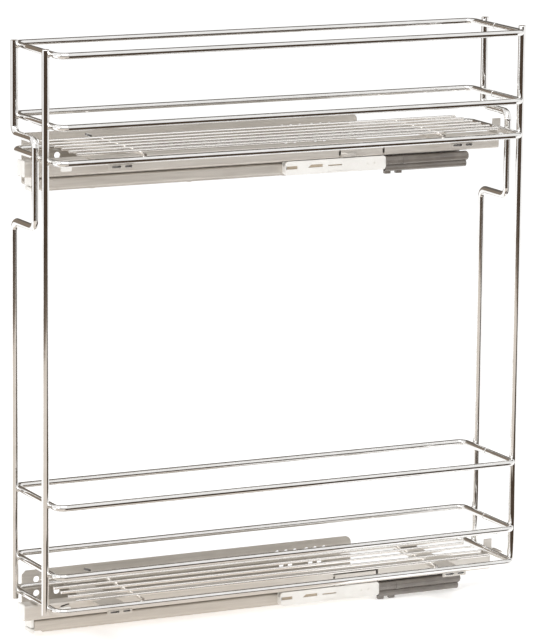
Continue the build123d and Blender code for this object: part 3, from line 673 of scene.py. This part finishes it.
# %% Beads under the floor wires
FLOOR_WIRE_Y = (-42.5, -25.5, -8.5, 8.5, 25.5, 42.5)
CROSS_X = 156.0
RAIL_SIDE_Y = 52.0
CROSSING_HEIGHT = 5.65
RAIL_TOUCH_HEIGHT = 2.9
CROSSING_BEAD = (1.7, 1.7, 0.9)
RAIL_TOUCH_BEAD = (1.7, 2.1, 1.0)
for tier, height in TIER_HEIGHTS.items():
    beads = bmesh.new()
    for x in (-CROSS_X, CROSS_X):
        for y in FLOOR_WIRE_Y:
            add_bead(beads, place(x, y, height + CROSSING_HEIGHT), CROSSING_BEAD)
        for y in (-RAIL_SIDE_Y, RAIL_SIDE_Y):
            add_bead(beads, place(x, y, height + RAIL_TOUCH_HEIGHT), RAIL_TOUCH_BEAD)
    added_piece(f"{tier}_floor_welds", beads, fine_chrome, "basket")
print("welds of each floor:", 2 * (len(FLOOR_WIRE_Y) + 2))

# %% [markdown]
# ## Butt seams of the rails
#
# Each rail is one wire bent round, and its two ends meet near the middle of the rear end, where a
# thin raised ring shows the butt weld. Blender's own torus would do. Rows of points that are
# skinned in a loop do as well, and the same skin serves the lips of the slots later on.

# %% Rings from rows of points
RING_STEPS = 28
RING_SECTION = 8
ALONG_X = Vector((1, 0, 0))
ALONG_Y = Vector((0, 1, 0))
UPWARD = Vector((0, 0, 1))


def skin_rows(shape, rows):
    """Faces between rows of vertices, where the rows and each row are closed loops."""
    count, section = len(rows), len(rows[0])
    for i in range(count):
        first, second = rows[i], rows[(i + 1) % count]
        for j in range(section):
            k = (j + 1) % section
            shape.faces.new((first[j], second[j], second[k], first[k]))


def add_ring(shape, centre, across, up, radius, thickness):
    """A closed ring whose circle lies in the plane of two directions."""
    normal = across.cross(up)
    rows = []
    for i in range(RING_STEPS):
        angle = 2 * math.pi * i / RING_STEPS
        outward = across * math.cos(angle) + up * math.sin(angle)
        row = []
        for j in range(RING_SECTION):
            turn = 2 * math.pi * j / RING_SECTION
            reach = outward * (radius + thickness * math.cos(turn)) + normal * thickness * math.sin(turn)
            row.append(shape.verts.new(centre + reach * MM))
        rows.append(row)
    skin_rows(shape, rows)


print("faces of a ring:", RING_STEPS * RING_SECTION)

# %% Butt seams in the rear ends
SEAM_X = 242.0
SEAM_Y = {0.0: 2.0, 33.0: 5.0, 99.0: 4.0}
SEAM_RADIUS = 2.95
SEAM_THICKNESS = 0.35
seams = bmesh.new()
for height in TIER_HEIGHTS.values():
    for step, y in SEAM_Y.items():
        add_ring(seams, place(SEAM_X, y, height + step), ALONG_X, UPWARD, SEAM_RADIUS, SEAM_THICKNESS)
added_piece("rail_butt_seams", seams, chrome, "basket")
print("butt seams:", len(TIER_HEIGHTS) * len(SEAM_Y))

# %% [markdown]
# ## Ribs on the damper cover
#
# In the photo thin ribs seem to go round the front part of the grey cover, near the housing. Such
# ribs stiffen a moulded tube. A bump texture could suggest them, but it would leave the outline
# smooth. So they are low rings round the tube, made with the same helper as the seams.

# %% Ribs round the tube
RIB_X = (124.0, 128.5, 133.0, 137.5)
TUBE_Y = 1.2
TUBE_Z = -25.0
RIB_RADIUS = 4.65
RIB_THICKNESS = 0.35
for tier, height in TIER_HEIGHTS.items():
    ribs = bmesh.new()
    for x in RIB_X:
        add_ring(ribs, place(x, TUBE_Y, height + TUBE_Z), ALONG_Y, UPWARD, RIB_RADIUS, RIB_THICKNESS)
    added_piece(f"{tier}_damper_ribs", ribs, grey_plastic, "wall_side")
print("ribs on each cover:", len(RIB_X))

# %% [markdown]
# ## Waisted clip
#
# A bright pressed clip with a narrow waist seems to lie on the near face of the drawer profile.
# It is taken as flat sheet, so its outline says it all. A plane could be cut to shape with
# booleans, but drawing the outline once and giving it the sheet's thickness is simpler. A pressed
# edge is rounded and catches a line of light, so the edges are bevelled.

# %% Clip from its outline
CLIP_OUTLINE = (
    (72.0, -18.6), (76.0, -18.4), (80.0, -17.0), (84.0, -18.4), (88.0, -18.6),
    (88.0, -13.4), (84.0, -13.6), (80.0, -15.0), (76.0, -13.6), (72.0, -13.4),
)
DRAWER_FACE_Y = -3.0
CLIP_SHEET = 0.5
CLIP_EDGE = 0.12
EDGE_SEGMENTS = 2


def add_sheet_outline(shape, outline, far_y, thickness):
    """A thin sheet from an outline in X and height, whose far face is at far_y."""
    near = [shape.verts.new(place(x, far_y - thickness, z)) for x, z in outline]
    far = [shape.verts.new(place(x, far_y, z)) for x, z in outline]
    shape.faces.new(near)
    shape.faces.new(list(reversed(far)))
    for i in range(len(outline)):
        j = (i + 1) % len(outline)
        shape.faces.new((near[j], near[i], far[i], far[j]))


for tier, height in TIER_HEIGHTS.items():
    clip = bmesh.new()
    add_sheet_outline(clip, [(x, height + z) for x, z in CLIP_OUTLINE], DRAWER_FACE_Y, CLIP_SHEET)
    bmesh.ops.bevel(clip, geom=clip.edges[:], offset=CLIP_EDGE * MM, segments=EDGE_SEGMENTS, affect="EDGES")
    added_piece(f"{tier}_waisted_clip", clip, zinc, "basket")
print("waisted clips:", len(TIER_HEIGHTS))

# %% [markdown]
# ## Tongue in the bracket's slot
#
# In the wall bracket the round holes look white, because the page shows through them. The tilted
# slot at the front looks dark, so something fills it, and a tongue of sheet pushed back into it
# is a likely reading. Its dark steel finish also paints the shade inside the slot. Dark paint on
# the bracket could suggest it, but the slot would stay open. So a small dark sheet with cut
# corners is set a little way inside the slot.

# %% Tongue in the tilted slot
TONGUE_MIDDLE = (-164.0, 8.0)
TONGUE_LENGTH = 7.4
TONGUE_HEIGHT = 2.2
TONGUE_TILT = math.radians(-20)
TONGUE_CORNERS = ((-1, -0.6), (-0.8, -1), (0.8, -1), (1, -0.6), (1, 0.6), (0.8, 1), (-0.8, 1), (-1, 0.6))
TONGUE_SHEET = 0.8
FLANGE_NEAR_Y = 57.5
TONGUE_BACK = 1.3
for tier, height in TIER_HEIGHTS.items():
    outline = []
    for along, up in TONGUE_CORNERS:
        a, u = along * TONGUE_LENGTH / 2, up * TONGUE_HEIGHT / 2
        x = TONGUE_MIDDLE[0] + a * math.cos(TONGUE_TILT) - u * math.sin(TONGUE_TILT)
        z = TONGUE_MIDDLE[1] + a * math.sin(TONGUE_TILT) + u * math.cos(TONGUE_TILT)
        outline.append((x, height + z))
    tongue = bmesh.new()
    add_sheet_outline(tongue, outline, FLANGE_NEAR_Y + TONGUE_BACK, TONGUE_SHEET)
    # The tongue's dark steel finish is partly painted shade in the slot.
    added_piece(f"{tier}_slot_tongue_and_shade", tongue, spring_steel, "wall_side")
print("slot tongues:", len(TIER_HEIGHTS))

# %% [markdown]
# ## The slots of the mounting plates
#
# Each mounting plate ends in a tab with a long and a short slot side by side. The press leaves a
# raised bright lip round each slot. A lip could be a curve with a round bevel, but a thin tube
# that follows the outline point by point stays a plain mesh and uses the skin of the rings.

# %% Outline and lip of a slot
ARC_STEPS = 6
LIP_SECTION = 6


def slot_outline(middle_x, middle_z, length, width):
    """Points round a slot with half-round ends."""
    straight = (length - width) / 2
    points = []
    for side, start in ((1, -math.pi / 2), (-1, math.pi / 2)):
        for i in range(ARC_STEPS + 1):
            angle = start + math.pi * i / ARC_STEPS
            points.append((
                middle_x + side * straight + math.cos(angle) * width / 2,
                middle_z + math.sin(angle) * width / 2,
            ))
    return points


def add_lip(shape, outline, face_y, thickness):
    """A thin rounded tube along a closed outline in X and height."""
    rows = []
    for i, (x, z) in enumerate(outline):
        before, after = outline[i - 1], outline[(i + 1) % len(outline)]
        along = Vector((after[0] - before[0], after[1] - before[1])).normalized()
        row = []
        for j in range(LIP_SECTION):
            turn = 2 * math.pi * j / LIP_SECTION
            out, depth = thickness * math.cos(turn), thickness * math.sin(turn)
            row.append(shape.verts.new(place(x + along.y * out, face_y + depth, z - along.x * out)))
        rows.append(row)
    skin_rows(shape, rows)


print("points round a slot:", 2 * (ARC_STEPS + 1))

# %% [markdown]
# ## Lips and painted shade in the slots
#
# Through both slots of a tab one looks into shade, so they look dark. An open slot would show
# only the pale runner behind it. The tab could get a dark patch of paint, but that would lie on
# its face. So a dark sheet of painted shade is set a little way into each slot, and the slot
# keeps its depth.

# %% Lips and painted shade on both tiers
PLATE_X = 178.0
SLOTS = ((-5.4, 9.8), (6.7, 7.6))
SLOT_HEIGHT = -5.7
SLOT_WIDTH = 2.2
TAB_FACE_Y = -50.5
LIP = 0.32
SHADE_SHEET_PLAY = 0.1
SHADE_SHEET_STEP = 0.5
SHADE_SHEET_THICKNESS = 0.6
for tier, height in TIER_HEIGHTS.items():
    lips, shade_sheets = bmesh.new(), bmesh.new()
    for plate_x in (-PLATE_X, PLATE_X):
        for step, length in SLOTS:
            middle = (plate_x + step, height + SLOT_HEIGHT)
            add_lip(lips, slot_outline(*middle, length, SLOT_WIDTH), TAB_FACE_Y, LIP)
            # Each slot gets a dark sheet of painted shade, set a little way in.
            shade_outline = slot_outline(*middle, length - SHADE_SHEET_PLAY, SLOT_WIDTH - SHADE_SHEET_PLAY)
            add_sheet_outline(shade_sheets, shade_outline, TAB_FACE_Y + SHADE_SHEET_STEP + SHADE_SHEET_THICKNESS, SHADE_SHEET_THICKNESS)
    added_piece(f"{tier}_slot_lips", lips, fine_chrome, "basket")
    added_piece(f"{tier}_slot_painted_shade", shade_sheets, spring_steel, "basket")
print("slots on each tier:", 2 * len(SLOTS))

# %% [markdown]
# ## Liner of painted shade in the soft-close housing
#
# The openings in the white housing look tan and not black, because the white inside of the
# housing lies in shade. A tan colour close behind them paints that shade. It could be a thick
# wall, but that would take up the catch's room. A thin liner on the inside of the near wall
# gives the colour and leaves the catch free.

# %% Tan liner of painted shade
LINER_X = (16.0, 90.0)
LINER_Z = (-28.5, -22.5)
LINER_FAR_Y = -0.56
LINER_SHEET = 0.22
LINER_CORNER = 1.0
# The tan colour is painted shade of the housing's white inside.
shade_tan_plastic = make_plastic(
    "painted_shade_tan", dark=(0.54, 0.445, 0.335), light=(0.60, 0.50, 0.385), gloss=(0.4, 0.55)
)


def cut_rectangle(x_range, z_range, cut):
    """A rectangle in X and height whose four corners are cut off."""
    (x0, x1), (z0, z1) = x_range, z_range
    return (
        (x0 + cut, z0), (x1 - cut, z0), (x1, z0 + cut), (x1, z1 - cut),
        (x1 - cut, z1), (x0 + cut, z1), (x0, z1 - cut), (x0, z0 + cut),
    )


for tier, height in TIER_HEIGHTS.items():
    outline = [(x, height + z) for x, z in cut_rectangle(LINER_X, LINER_Z, LINER_CORNER)]
    liner = bmesh.new()
    add_sheet_outline(liner, outline, LINER_FAR_Y, LINER_SHEET)
    added_piece(f"{tier}_housing_shade_liner", liner, shade_tan_plastic, "wall_side")
print("liner behind", LINER_X[1] - LINER_X[0], "mm of the housing wall")
